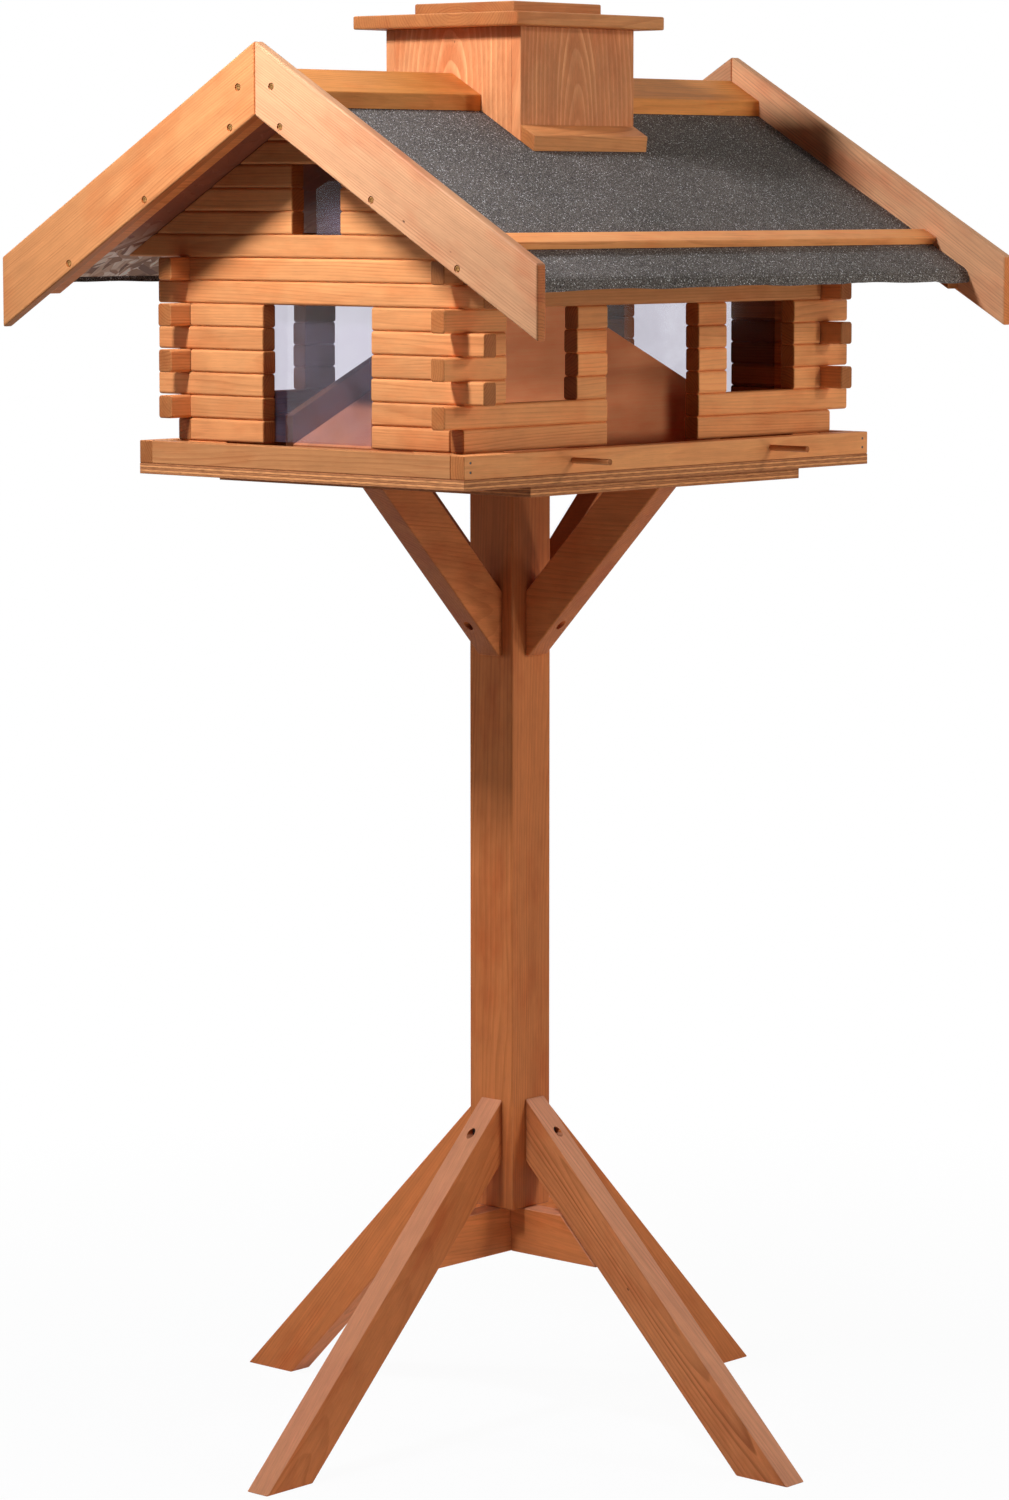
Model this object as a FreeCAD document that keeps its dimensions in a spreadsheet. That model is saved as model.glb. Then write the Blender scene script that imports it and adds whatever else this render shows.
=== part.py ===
import FreeCAD, Part
import math
import os
import Sketcher

# Free-standing bird table: a log-built house with a felted gable roof and a filling chimney,
# standing on a single post with four splayed legs.
# X runs along the ridge, the long front side faces -Y, Z is up, origin on the ground under the post.

doc = FreeCAD.newDocument("bird_table")

# Driving dimensions, millimetres and degrees

DIMS = {
    "post_side": 58.0,
    "post_length": 739.5,
    "leg_thick": 28.0,
    "leg_reach": 370.0,
    "leg_foot": 64.0,
    "leg_shift_x": 5.0,
    "leg_shift_y": -1.5,
    "cross_base": 181.0,
    "cross_high": 47.0,
    "cross_thick": 22.0,
    "brace_thick": 28.0,
    "brace_reach": 202.5,
    "brace_head": 65.7,
    "brace_drop": 175.5,
    "brace_tip": 4.0,
    "brace_inner_drop": 110.5,
    "plate_lip_x": 1.2,
    "plate_lip_y": 5.3,
    "ply": 10.5,
    "wall_x": 556.0,
    "wall_y": 380.0,
    "deck_margin_x": 27.5,
    "deck_margin_y": 26.2,
    "log_high": 22.4,
    "log_thick": 17.5,
    "log_round": 3.0,
    "log_lap": 26.4,
    "door_half": 69.0,
    "jamb_wide": 44.0,
    "front_shift": -3.0,
    "corner_wide": 61.0,
    "gable_door_half": 72.0,
    "gable_window_half": 32.5,
    "gable_gap_half": 123.5,
    "pitch": 30.0,
    "eave_gap": 18.0,
    "eave_overhang": 113.0,
    "gable_overhang": 69.7,
    "screw_seat_in": 22.0,
    "screw_seat_up": 32.0,
    "top_screw_out": 22.0,
    "top_screw_down": 30.0,
    "row_down": 61.3,
    "row_out_1": 33.0,
    "row_out_2": 150.0,
    "row_out_3": 257.0,
    "panel_thick": 9.0,
    "felt_thick": 2.5,
    "felt_beyond": 8.5,
    "felt_drop": 11.5,
    "barge_thick": 12.0,
    "barge_plumb": 69.3,
    "barge_lip": 40.3,
    "barge_beyond": 51.0,
    "rafter_thick": 17.5,
    "rafter_plumb": 12.7,
    "rafter_tail": 20.0,
    "rafter_tail_far": -6.0,
    "ridge_half": 38.0,
    "ridge_plumb": 15.9,
    "batten_wide": 18.0,
    "batten_thick": 8.3,
    "batten_inset": 43.5,
    "chimney_x": 169.4,
    "chimney_y": 178.6,
    "chimney_board": 12.0,
    "chimney_rise": 59.4,
    "apron_wide": 21.5,
    "apron_thick": 19.0,
    "lid_x": 220.4,
    "lid_y": 218.2,
    "lid_shift_y": 1.5,
    "lid_thick": 13.2,
    "crown_x": 131.4,
    "crown_y": 131.6,
    "crown_shift_x": -0.6,
    "crown_shift_y": 2.2,
    "crown_thick": 12.0,
    "pane_thick": 3.0,
    "pane_half": 130.0,
    "pane_lift": 24.0,
    "upper_pane_lap": 16.0,
    "upper_pane_wide": 46.0,
    "upper_pane_side": 52.0,
    "upper_pane_peak": 74.0,
    "upper_pane_flat": 14.0,
    "upper_pane_low": 66.0,
    "silo_inner_half": 52.0,
    "silo_board": 10.0,
    "shaft_half": 76.0,
    "wing_high": 50.0,
    "wing_slope": 24.0,
    "trough_deep": 28.0,
    "shaft_slot": 40.0,
    "perch_radius": 3.0,
    "perch_out": 46.0,
    "perch_in": 10.0,
    "perch_spread": 150.0,
    "perch_shift": -2.0,
}

dims = doc.addObject("Spreadsheet::Sheet", "dims")
for row, (alias, value) in enumerate(DIMS.items(), start=1):
    dims.set("A%d" % row, alias)
    dims.set("B%d" % row, str(value))
    dims.setAlias("B%d" % row, alias)

# Levels and reaches that follow from the driving dimensions

LEVELS = {
    "post_half": "=dims.post_side / 2",
    "post_foot": "=dims.cross_base + dims.cross_high",
    "post_top": "=post_foot + dims.post_length",
    "deck_under": "=post_top + dims.ply",
    "deck_top": "=deck_under + dims.ply",
    "deck_half_x": "=dims.wall_x / 2 + dims.deck_margin_x",
    "deck_half_y": "=dims.wall_y / 2 + dims.deck_margin_y",
    "wall_half_x": "=dims.wall_x / 2",
    "wall_half_y": "=dims.wall_y / 2",
    "inner_half_x": "=wall_half_x - dims.log_thick",
    "inner_half_y": "=wall_half_y - dims.log_thick",
    "rise": "=tan(dims.pitch)",
    "skew": "=1 / cos(dims.pitch)",
    "soffit": "=deck_top + 10 * dims.log_high + dims.eave_gap + wall_half_y * rise",
    "panel_plumb": "=dims.panel_thick * skew",
    "felt_plumb": "=dims.felt_thick * skew",
    "panel_top": "=soffit + panel_plumb",
    "felt_top": "=panel_top + felt_plumb",
    "eave_half": "=wall_half_y + dims.eave_overhang",
    "roof_half_x": "=wall_half_x + dims.gable_overhang",
    "barge_half_y": "=eave_half + dims.barge_beyond",
    "barge_top": "=felt_top + dims.barge_lip",
    "barge_under": "=barge_top - dims.barge_plumb",
    "rafter_under": "=soffit - dims.rafter_plumb",
    "rafter_inner": "=roof_half_x - dims.rafter_thick",
    "rafter_tip": "=eave_half + dims.rafter_tail",
    "rafter_level": "=soffit - rafter_tip * rise",
    "rafter_heel": "=(rafter_under - rafter_level) / rise",
    "rafter_far": "=eave_half + dims.rafter_tail_far",
    "ridge_top": "=felt_top + dims.ridge_plumb",
    "flue_half_x": "=dims.chimney_x / 2",
    "flue_half_y": "=dims.chimney_y / 2",
    "flue_inner_y": "=flue_half_y - dims.chimney_board",
    "flue_inner_x": "=flue_half_x - dims.chimney_board",
    "flue_top": "=felt_top + dims.chimney_rise",
    "lid_top": "=flue_top + dims.lid_thick",
    "silo_outer": "=dims.silo_inner_half + dims.silo_board",
    "shaft_inner": "=dims.shaft_half - dims.silo_board",
    "silo_end": "=inner_half_x - dims.pane_thick",
    "silo_top": "=soffit - silo_outer * rise",
    "wing_fall": "=tan(dims.wing_slope)",
    "wing_end": "=deck_top + dims.wing_high",
    "wing_root": "=wing_end + (silo_end - dims.shaft_half) * wing_fall",
    "slope_top": "=wing_end - dims.trough_deep + silo_end * wing_fall",
    "slope_plumb": "=dims.silo_board / cos(dims.wing_slope)",
    "shaft_foot": "=slope_top - shaft_inner * wing_fall + dims.shaft_slot",
    "pane_top": "=deck_top + 9 * dims.log_high",
}

lay = doc.addObject("Spreadsheet::Sheet", "lay")
for row, (alias, formula) in enumerate(LEVELS.items(), start=1):
    lay.set("A%d" % row, alias)
    lay.set("B%d" % row, formula)
    lay.setAlias("B%d" % row, alias)
doc.recompute()

nodes = []


def bind(obj, **links):
    """Tie properties of an object to expressions; x, y and z mean its placement."""
    for name, expression in links.items():
        target = "Placement.Base." + name if name in ("x", "y", "z") else name
        obj.setExpression(target, str(expression))


def keep(obj, label):
    """Mark an object as a finished piece under its file name."""
    obj.Label = label
    nodes.append(obj)
    return obj


def box(label, x0, x1, y0, y1, z0, z1):
    """Plain board between two corners, each given as an expression."""
    obj = doc.addObject("Part::Box", label)
    bind(obj, Length="(%s) - (%s)" % (x1, x0), Width="(%s) - (%s)" % (y1, y0),
         Height="(%s) - (%s)" % (z1, z0), x=x0, y=y0, z=z0)
    return obj


def outline(sketch, points):
    """Closed polygon whose corners are held by expressions."""
    count = len(points)
    for i in range(count):
        a = 2 * math.pi * i / count
        b = 2 * math.pi * (i + 1) / count
        start = FreeCAD.Vector(100 * math.cos(a), 100 * math.sin(a), 0)
        end = FreeCAD.Vector(100 * math.cos(b), 100 * math.sin(b), 0)
        sketch.addGeometry(Part.LineSegment(start, end), False)
    for i in range(count):
        sketch.addConstraint(Sketcher.Constraint("Coincident", i, 2, (i + 1) % count, 1))
    for i, (across, up) in enumerate(points):
        start = sketch.Geometry[i].StartPoint
        for kind, value, expression in (("DistanceX", start.x, across), ("DistanceY", start.y, up)):
            number = sketch.addConstraint(Sketcher.Constraint(kind, -1, 1, i, 1, value))
            sketch.setExpression("Constraints[%d]" % number, str(expression))


def origin_plane(body, role):
    return [f for f in body.Origin.OriginFeatures if f.Role == role][0]


def prism(label, role, points, start, length):
    """Body padded from a polygon; start is where the pad begins along its normal axis."""
    body = doc.addObject("PartDesign::Body", label)
    sketch = body.newObject("Sketcher::SketchObject", label + "_sketch")
    sketch.AttachmentSupport = [(origin_plane(body, role), "")]
    sketch.MapMode = "FlatFace"
    outline(sketch, points)
    pad = body.newObject("PartDesign::Pad", label + "_pad")
    pad.Profile = sketch
    bind(pad, Length=length)
    axis = {"YZ_Plane": "x", "XZ_Plane": "y", "XY_Plane": "z"}[role]
    bind(body, **{axis: start})
    body.Tip = pad
    return body


def cut(label, base, tools):
    """Base less every tool in turn."""
    for number, tool in enumerate(tools):
        result = doc.addObject("Part::Cut", "%s_cut%d" % (label, number))
        result.Base = base
        result.Tool = tool
        base = result
    return base


def group(label, pieces):
    """Several separate solids kept as one node."""
    obj = doc.addObject("Part::Compound", label)
    obj.Links = pieces
    return keep(obj, label)


# Turned profiles for screws and nails, and the bores they sit in


def turned(name, steps):
    """Half profile in the XZ plane as (radius, height) corners, turned about Z later."""
    sketch = doc.addObject("Sketcher::SketchObject", name)
    sketch.Placement = FreeCAD.Placement(FreeCAD.Vector(), FreeCAD.Rotation(FreeCAD.Vector(1, 0, 0), 90))
    outline(sketch, steps)
    return sketch


def spin(label, sketch, x, y, z, rotation):
    """Solid of revolution of a shared profile, placed with its axis turned."""
    obj = doc.addObject("Part::Revolution", label)
    obj.Source = sketch
    obj.Axis = FreeCAD.Vector(0, 0, 1)
    obj.Angle = 360
    obj.Solid = True
    obj.Placement = FreeCAD.Placement(FreeCAD.Vector(), rotation)
    bind(obj, x=x, y=y, z=z)
    return obj


def toward(direction):
    """Rotation taking +Z to a direction."""
    return FreeCAD.Rotation(FreeCAD.Vector(0, 0, 1), FreeCAD.Vector(*direction))


# Stand screw: head seat at height 0, shank running to +Z, head and clear bore to -Z
stand_screw = turned("stand_screw_profile", [(0, -3), (4.2, -3), (4.2, 0), (2.2, 0), (2.2, 34), (0, 38)])
stand_bore = turned("stand_bore_profile", [(0, -60), (4.6, -60), (4.6, 0), (2.25, 0), (2.25, 39), (0, 39)])
barge_screw = turned("barge_screw_profile", [(0, -1.6), (3.4, -1.6), (3.4, 0), (1.6, 0), (1.6, 20), (0, 23)])
barge_bore = turned("barge_bore_profile", [(0, -9), (3.6, -9), (3.6, 0), (1.65, 0), (1.65, 24), (0, 24)])
nail_body = turned("nail_profile", [(0, -0.5), (1.3, -0.5), (1.3, 0), (0.9, 0), (0.9, 36), (0, 38)])
nail_bore = turned("nail_bore_profile", [(0, -5), (1.4, -5), (1.4, 0), (0.95, 0), (0.95, 39), (0, 39)])

# Stand: four legs, two halved cross boards, the post and four braces

SIDES = {"right": (1, 0), "back": (0, 1), "left": (-1, 0), "front": (0, -1)}


def radial(name, points, thick, shift_x, shift_y):
    """Bar lying in the plane of one side of the post; points are (outward, up)."""
    out_x, out_y = SIDES[name.split("_")[1]]
    sign = out_x + out_y
    flat = [("%d * (%s)" % (sign, across), up) for across, up in points]
    if out_x:
        return prism(name + "_blank", "XZ_Plane", flat, "%s + %s / 2" % (shift_y, thick), thick)
    return prism(name + "_blank", "YZ_Plane", flat, "%s - %s / 2" % (shift_x, thick), thick)


def radial_turn(sketch, label, side, outward, up, shift_x, shift_y):
    """Turned part on a side of the post, its axis level and pointing at the post."""
    out_x, out_y = SIDES[side]
    x = "%d * (%s)" % (out_x, outward) if out_x else shift_x
    y = "%d * (%s)" % (out_y, outward) if out_y else shift_y
    return spin(label, sketch, x, y, up, toward((-out_x, -out_y, 0)))


SHIFT = ("dims.leg_shift_x", "dims.leg_shift_y")
LEG = [
    ("lay.post_half", "dims.leg_reach - lay.post_half"),
    ("lay.post_half", "dims.leg_reach - dims.leg_foot - lay.post_half"),
    ("dims.leg_reach - dims.leg_foot", "0"),
    ("dims.leg_reach", "0"),
]
BRACE = [
    ("lay.post_half", "lay.post_top - dims.brace_drop"),
    ("lay.post_half + dims.brace_tip", "lay.post_top - dims.brace_drop"),
    ("dims.brace_reach", "lay.post_top"),
    ("dims.brace_reach - dims.brace_head", "lay.post_top"),
    ("lay.post_half", "lay.post_top - dims.brace_inner_drop"),
]
LEG_SEAT = ("lay.post_half + dims.screw_seat_in", "dims.leg_reach - lay.post_half - dims.screw_seat_up")
BRACE_SEAT = ("lay.post_half + dims.screw_seat_in", "lay.post_top - dims.brace_drop + dims.screw_seat_up")

post_bores = []
stand_screws = []
for side in SIDES:
    leg = radial("leg_" + side, LEG, "dims.leg_thick", *SHIFT)
    bore = radial_turn(stand_bore, "leg_bore_" + side, side, LEG_SEAT[0], LEG_SEAT[1], *SHIFT)
    screw = radial_turn(stand_screw, "leg_screw_" + side, side, LEG_SEAT[0], LEG_SEAT[1], *SHIFT)
    keep(cut("leg_" + side, leg, [bore]), "leg_" + side)
    post_bores.append(bore)
    stand_screws.append(screw)
for side in SIDES:
    brace = radial("brace_" + side, BRACE, "dims.brace_thick", *SHIFT)
    bore = radial_turn(stand_bore, "brace_bore_" + side, side, BRACE_SEAT[0], BRACE_SEAT[1], *SHIFT)
    screw = radial_turn(stand_screw, "brace_screw_" + side, side, BRACE_SEAT[0], BRACE_SEAT[1], *SHIFT)
    keep(cut("brace_" + side, brace, [bore]), "brace_" + side)
    post_bores.append(bore)
    stand_screws.append(screw)
group("stand_screws", stand_screws)

CROSS = [
    ("-(dims.leg_reach - dims.leg_foot - dims.cross_base)", "dims.cross_base"),
    ("dims.leg_reach - dims.leg_foot - dims.cross_base", "dims.cross_base"),
    ("dims.leg_reach - dims.leg_foot - lay.post_foot", "lay.post_foot"),
    ("-(dims.leg_reach - dims.leg_foot - lay.post_foot)", "lay.post_foot"),
]
HALF = "dims.cross_thick / 2"
MID = "dims.cross_base + dims.cross_high / 2"
cross_x = prism("cross_board_x_blank", "XZ_Plane", CROSS, HALF, "dims.cross_thick")
notch_x = box("notch_x", "-" + HALF, HALF, "-" + HALF, HALF, MID, "lay.post_foot")
keep(cut("cross_board_x", cross_x, [notch_x]), "cross_board_x")
cross_y = prism("cross_board_y_blank", "YZ_Plane", CROSS, "-" + HALF, "dims.cross_thick")
notch_y = box("notch_y", "-" + HALF, HALF, "-" + HALF, HALF, "dims.cross_base", MID)
keep(cut("cross_board_y", cross_y, [notch_y]), "cross_board_y")

post_blank = box("post_blank", "-lay.post_half", "lay.post_half", "-lay.post_half", "lay.post_half",
                 "lay.post_foot", "lay.post_top")
keep(cut("post", post_blank, post_bores), "post")

# Deck: mounting plate, floor plate, four rim strips, nails and two perches

PLATE_X = "(dims.brace_reach + dims.plate_lip_x)"
PLATE_Y = "(dims.brace_reach + dims.plate_lip_y)"
keep(box("mounting_plate", "-" + PLATE_X, PLATE_X, "-" + PLATE_Y, PLATE_Y, "lay.post_top",
         "lay.deck_under"), "mounting_plate")
DX = "lay.deck_half_x"
DY = "lay.deck_half_y"
keep(box("floor_plate", "-" + DX, DX, "-" + DY, DY, "lay.deck_under", "lay.deck_top"), "floor_plate")
RIM_TOP = "lay.deck_top + dims.log_high"
rim_front = box("rim_front_blank", "-" + DX, DX, "-" + DY, "-%s + dims.log_thick" % DY, "lay.deck_top",
                RIM_TOP)
rim_back = box("rim_back_blank", "-" + DX, DX, DY + " - dims.log_thick", DY, "lay.deck_top", RIM_TOP)
rim_left = box("rim_left_blank", "-" + DX, "-%s + dims.log_thick" % DX, "-%s + dims.log_thick" % DY,
               DY + " - dims.log_thick", "lay.deck_top", RIM_TOP)
rim_right = box("rim_right_blank", DX + " - dims.log_thick", DX, "-%s + dims.log_thick" % DY,
                DY + " - dims.log_thick", "lay.deck_top", RIM_TOP)

nails = []
nail_bores = {(-1, -1): [], (-1, 1): [], (1, -1): [], (1, 1): []}
for sx, sy in nail_bores:
    for number, part_up in enumerate((0.3, 0.7)):
        label = "nail_%s%s_%d" % ("m" if sx < 0 else "p", "m" if sy < 0 else "p", number)
        where = ("%d * (%s - dims.log_thick / 2)" % (sx, DX), "%d * (%s - 0.5)" % (sy, DY),
                 "lay.deck_top + %s * dims.log_high" % part_up)
        nails.append(spin(label, nail_body, *where, toward((0, -sy, 0))))
        nail_bores[(sx, sy)].append(spin(label + "_bore", nail_bore, *where, toward((0, -sy, 0))))
group("rim_nails", nails)

PERCH_Y = "-%s - dims.perch_out" % DY
perches = []
for sign, name in ((-1, "left"), (1, "right")):
    perch = doc.addObject("Part::Cylinder", "perch_" + name)
    perch.Placement = FreeCAD.Placement(FreeCAD.Vector(), toward((0, 1, 0)))
    bind(perch, Radius="dims.perch_radius", Height="dims.perch_out + dims.perch_in",
         x="%d * dims.perch_spread + dims.perch_shift" % sign, y=PERCH_Y,
         z="lay.deck_top + dims.log_high / 2 + 1")
    perches.append(perch)
group("perches", perches)

keep(cut("rim_front", rim_front, nail_bores[(-1, -1)] + nail_bores[(1, -1)] + perches), "rim_front")
keep(cut("rim_back", rim_back, nail_bores[(-1, 1)] + nail_bores[(1, 1)]), "rim_back")
keep(cut("rim_left", rim_left, nail_bores[(-1, -1)] + nail_bores[(-1, 1)]), "rim_left")
keep(cut("rim_right", rim_right, nail_bores[(1, -1)] + nail_bores[(1, 1)]), "rim_right")

# Walls: logs with rounded edges, stacked and lapped at the corners


def log_section(name, role_x):
    """Rounded rectangle, thickness across and height up, lower corner at the origin."""
    sketch = doc.addObject("Sketcher::SketchObject", name)
    turn = FreeCAD.Rotation(FreeCAD.Vector(1, 1, 1), 120) if role_x else \
        FreeCAD.Rotation(FreeCAD.Vector(1, 0, 0), 90)
    sketch.Placement = FreeCAD.Placement(FreeCAD.Vector(), turn)
    wide, high, rad = 17.5, 22.4, 3.0
    corners = [((wide - rad, rad), -90), ((wide - rad, high - rad), 0), ((rad, high - rad), 90),
               ((rad, rad), 180)]
    for (cx, cy), angle in corners:
        circle = Part.Circle(FreeCAD.Vector(cx, cy, 0), FreeCAD.Vector(0, 0, 1), rad)
        sketch.addGeometry(Part.ArcOfCircle(circle, math.radians(angle), math.radians(angle + 90)), False)
    for i in range(4):
        a = sketch.Geometry[i].EndPoint
        b = sketch.Geometry[(i + 1) % 4].StartPoint
        sketch.addGeometry(Part.LineSegment(a, b), False)
    for i in range(4):
        sketch.addConstraint(Sketcher.Constraint("Tangent", i, 2, 4 + i, 1))
        sketch.addConstraint(Sketcher.Constraint("Tangent", 4 + i, 2, (i + 1) % 4, 1))
    for i in range(3):
        sketch.addConstraint(Sketcher.Constraint("Equal", i, i + 1))
    for line, kind in ((4, "Vertical"), (5, "Horizontal"), (6, "Vertical"), (7, "Horizontal")):
        sketch.addConstraint(Sketcher.Constraint(kind, line))
    held = [
        (Sketcher.Constraint("Radius", 0, rad), "dims.log_round"),
        (Sketcher.Constraint("DistanceX", -1, 1, 4, 1, wide), "dims.log_thick"),
        (Sketcher.Constraint("DistanceX", -1, 1, 6, 1, 0.0), "0"),
        (Sketcher.Constraint("DistanceY", -1, 1, 5, 1, high), "dims.log_high"),
        (Sketcher.Constraint("DistanceY", -1, 1, 7, 1, 0.0), "0"),
    ]
    for constraint, expression in held:
        number = sketch.addConstraint(constraint)
        sketch.setExpression("Constraints[%d]" % number, expression)
    return sketch


section_x = log_section("log_section_x", True)
section_y = log_section("log_section_y", False)


def log(label, axis, start, end, side, course):
    """One log on a course; side is the lower coordinate of its thickness."""
    obj = doc.addObject("Part::Extrusion", label)
    obj.Base = section_x if axis == "x" else section_y
    obj.DirMode = "Custom"
    obj.Dir = FreeCAD.Vector(1, 0, 0) if axis == "x" else FreeCAD.Vector(0, 1, 0)
    obj.Solid = True
    up = "lay.deck_top + %d * dims.log_high" % course
    bind(obj, LengthFwd="(%s) - (%s)" % (end, start))
    if axis == "x":
        bind(obj, x=start, y=side, z=up)
    else:
        bind(obj, x=side, y=start, z=up)
    return obj


WX = "lay.wall_half_x"
WY = "lay.wall_half_y"
IX = "lay.inner_half_x"
IY = "lay.inner_half_y"
LAP = "dims.log_lap"
DOOR_L = "dims.front_shift - dims.door_half"
DOOR_R = "dims.front_shift + dims.door_half"
JAMB_L = "dims.front_shift - dims.door_half - dims.jamb_wide"
JAMB_R = "dims.front_shift + dims.door_half + dims.jamb_wide"
PIER = "(%s - dims.corner_wide)" % WX


def long_reach(course):
    """How far a long-wall log runs along X on a course."""
    if course == 0:
        return IX
    if course == 1:
        return WX
    return "(%s + %s)" % (WX, LAP) if course % 2 == 0 else IX


for wall, side in (("front", "-" + WY), ("back", IY)):
    left, right, full = [], [], []
    for course in range(10):
        reach = long_reach(course)
        name = "%s_log_%d" % (wall, course)
        if course == 0:
            left.append(log(name + "_left", "x", "-" + reach, "-" + PIER, side, course))
            right.append(log(name + "_right", "x", PIER, reach, side, course))
            continue
        if course in (7, 8, 9):
            full.append(log(name, "x", "-" + reach, reach, side, course))
            continue
        if course in (1, 2):
            left.append(log(name + "_left", "x", "-" + reach, DOOR_L, side, course))
            right.append(log(name + "_right", "x", DOOR_R, reach, side, course))
            continue
        left.append(log(name + "_pier_left", "x", "-" + reach, "-" + PIER, side, course))
        left.append(log(name + "_jamb_left", "x", JAMB_L, DOOR_L, side, course))
        right.append(log(name + "_jamb_right", "x", DOOR_R, JAMB_R, side, course))
        right.append(log(name + "_pier_right", "x", PIER, reach, side, course))
    group(wall + "_logs_left", left)
    group(wall + "_logs_right", right)
    group(wall + "_logs_full", full)


def gable_reach(course):
    """How far a gable log runs along Y on a course."""
    if course == 0:
        return WY
    if course == 1:
        return IY
    return "(%s + %s)" % (WY, LAP) if course % 2 else IY


def roof_tool(name, sign, plane, far):
    """Block between a roof plane and a level, used to trim the pieces that meet the roof."""
    run = "(lay.eave_half + 200)"
    points = [("0", plane), ("%d * %s" % (sign, run), "%s - %s * lay.rise" % (plane, run)),
              ("%d * %s" % (sign, run), "%s + %s" % (plane, far)), ("0", "%s + %s" % (plane, far))]
    reach = "(lay.roof_half_x + 100)"
    return prism(name, "YZ_Plane", points, "-" + reach, "2 * " + reach)


trim = [roof_tool("trim_front", -1, "lay.soffit", "300"), roof_tool("trim_back", 1, "lay.soffit", "300")]

for gable, side in (("left", "-" + WX), ("right", IX)):
    front, back, full = [], [], []
    for course in range(16):
        name = "%s_gable_log_%d" % (gable, course)
        if course == 0:
            reach = gable_reach(course)
            front.append(log(name + "_front", "y", "-" + reach, "-dims.gable_gap_half", side, course))
            back.append(log(name + "_back", "y", "dims.gable_gap_half", reach, side, course))
        elif course in (7, 8):
            reach = gable_reach(course)
            full.append(log(name, "y", "-" + reach, reach, side, course))
        elif course < 7:
            reach = gable_reach(course)
            front.append(log(name + "_front", "y", "-" + reach, "-dims.gable_door_half", side, course))
            back.append(log(name + "_back", "y", "dims.gable_door_half", reach, side, course))
        elif course in (10, 11, 12):
            pair = []
            for end, sign in (("front", -1), ("back", 1)):
                start, stop = "dims.gable_window_half", "lay.eave_half"
                if sign < 0:
                    start, stop = "-" + stop, "-" + start
                raw = log("%s_%s_raw" % (name, end), "y", start, stop, side, course)
                pair.append(cut("%s_%s" % (name, end), raw, trim))
            front.append(pair[0])
            back.append(pair[1])
        else:
            raw = log(name + "_raw", "y", "-lay.eave_half", "lay.eave_half", side, course)
            full.append(cut(name, raw, trim))
    group(gable + "_gable_logs_front", front)
    group(gable + "_gable_logs_back", back)
    group(gable + "_gable_logs_full", full)

# Clear panes on the inside of both gables

upper_panes = []
for gable, sign in (("left", -1), ("right", 1)):
    face = "-" + IX if sign < 0 else IX + " - dims.pane_thick"
    keep(box("pane_" + gable, face, face + " + dims.pane_thick", "-dims.pane_half", "dims.pane_half",
             "lay.deck_top + dims.pane_lift", "lay.pane_top"), "pane_" + gable)
    edge = -1 * sign
    lap, far = "%d * dims.upper_pane_lap" % edge, "%d * -dims.upper_pane_wide" % edge
    corners = [(lap, "lay.pane_top"), (far, "lay.pane_top"), (far, "lay.pane_top + dims.upper_pane_side"),
               ("%d * -dims.upper_pane_flat" % edge, "lay.pane_top + dims.upper_pane_peak"),
               ("0", "lay.pane_top + dims.upper_pane_peak"), (lap, "lay.pane_top + dims.upper_pane_low")]
    upper_panes.append(prism("upper_pane_" + gable, "YZ_Plane", corners, face, "dims.pane_thick"))
group("upper_panes", upper_panes)

# Silo: two shaped side panels, the shaft between them and the slopes that carry seed to the gables

SILO = [
    ("-lay.silo_end", "lay.deck_top"),
    ("lay.silo_end", "lay.deck_top"),
    ("lay.silo_end", "lay.wing_end"),
    ("dims.shaft_half", "lay.wing_root"),
    ("dims.shaft_half", "lay.silo_top"),
    ("-dims.shaft_half", "lay.silo_top"),
    ("-dims.shaft_half", "lay.wing_root"),
    ("-lay.silo_end", "lay.wing_end"),
]
keep(prism("silo_panel_front", "XZ_Plane", SILO, "-dims.silo_inner_half", "dims.silo_board"),
     "silo_panel_front")
keep(prism("silo_panel_back", "XZ_Plane", SILO, "lay.silo_outer", "dims.silo_board"),
     "silo_panel_back")
shaft = []
slopes = []
for name, sign in (("left", -1), ("right", 1)):
    low, high = "lay.shaft_inner", "dims.shaft_half"
    if sign < 0:
        low, high = "-" + high, "-" + low
    blank = box("shaft_board_%s_blank" % name, low, high, "-dims.silo_inner_half", "dims.silo_inner_half",
                "lay.shaft_foot", "lay.soffit")
    shaft.append(cut("shaft_board_" + name, blank, trim))
    corners = [("0", "lay.slope_top - lay.slope_plumb"), ("0", "lay.slope_top"),
               ("%d * lay.silo_end" % sign, "lay.slope_top - lay.silo_end * lay.wing_fall"),
               ("%d * lay.silo_end" % sign,
                "lay.slope_top - lay.silo_end * lay.wing_fall - lay.slope_plumb")]
    slopes.append(prism("seed_slope_" + name, "XZ_Plane", corners, "dims.silo_inner_half",
                        "2 * dims.silo_inner_half"))
group("shaft_boards", shaft)
group("seed_slopes", slopes)

# Roof: two panels, two sheets of felt turned down at the eaves, rafters, barge boards and ridge boards

ROOF_X = "lay.roof_half_x"
well = box("roof_well", "-lay.shaft_inner", "lay.shaft_inner", "-dims.silo_inner_half",
           "dims.silo_inner_half", "lay.soffit - 200", "lay.felt_top + 10")


def slab(under, over, reach, sign):
    """Section of a sheet on one slope between two planes, its eave end square to the slope."""
    back = "(%s - (%s)) / lay.rise / (1 + 1 / (lay.rise * lay.rise))" % (over, under)
    return [("0", under), ("0", over), ("%d * %s" % (sign, reach), "%s - %s * lay.rise" % (over, reach)),
            ("%d * (%s - %s)" % (sign, reach, back), "%s - (%s - %s) * lay.rise" % (under, reach, back))]


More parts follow.
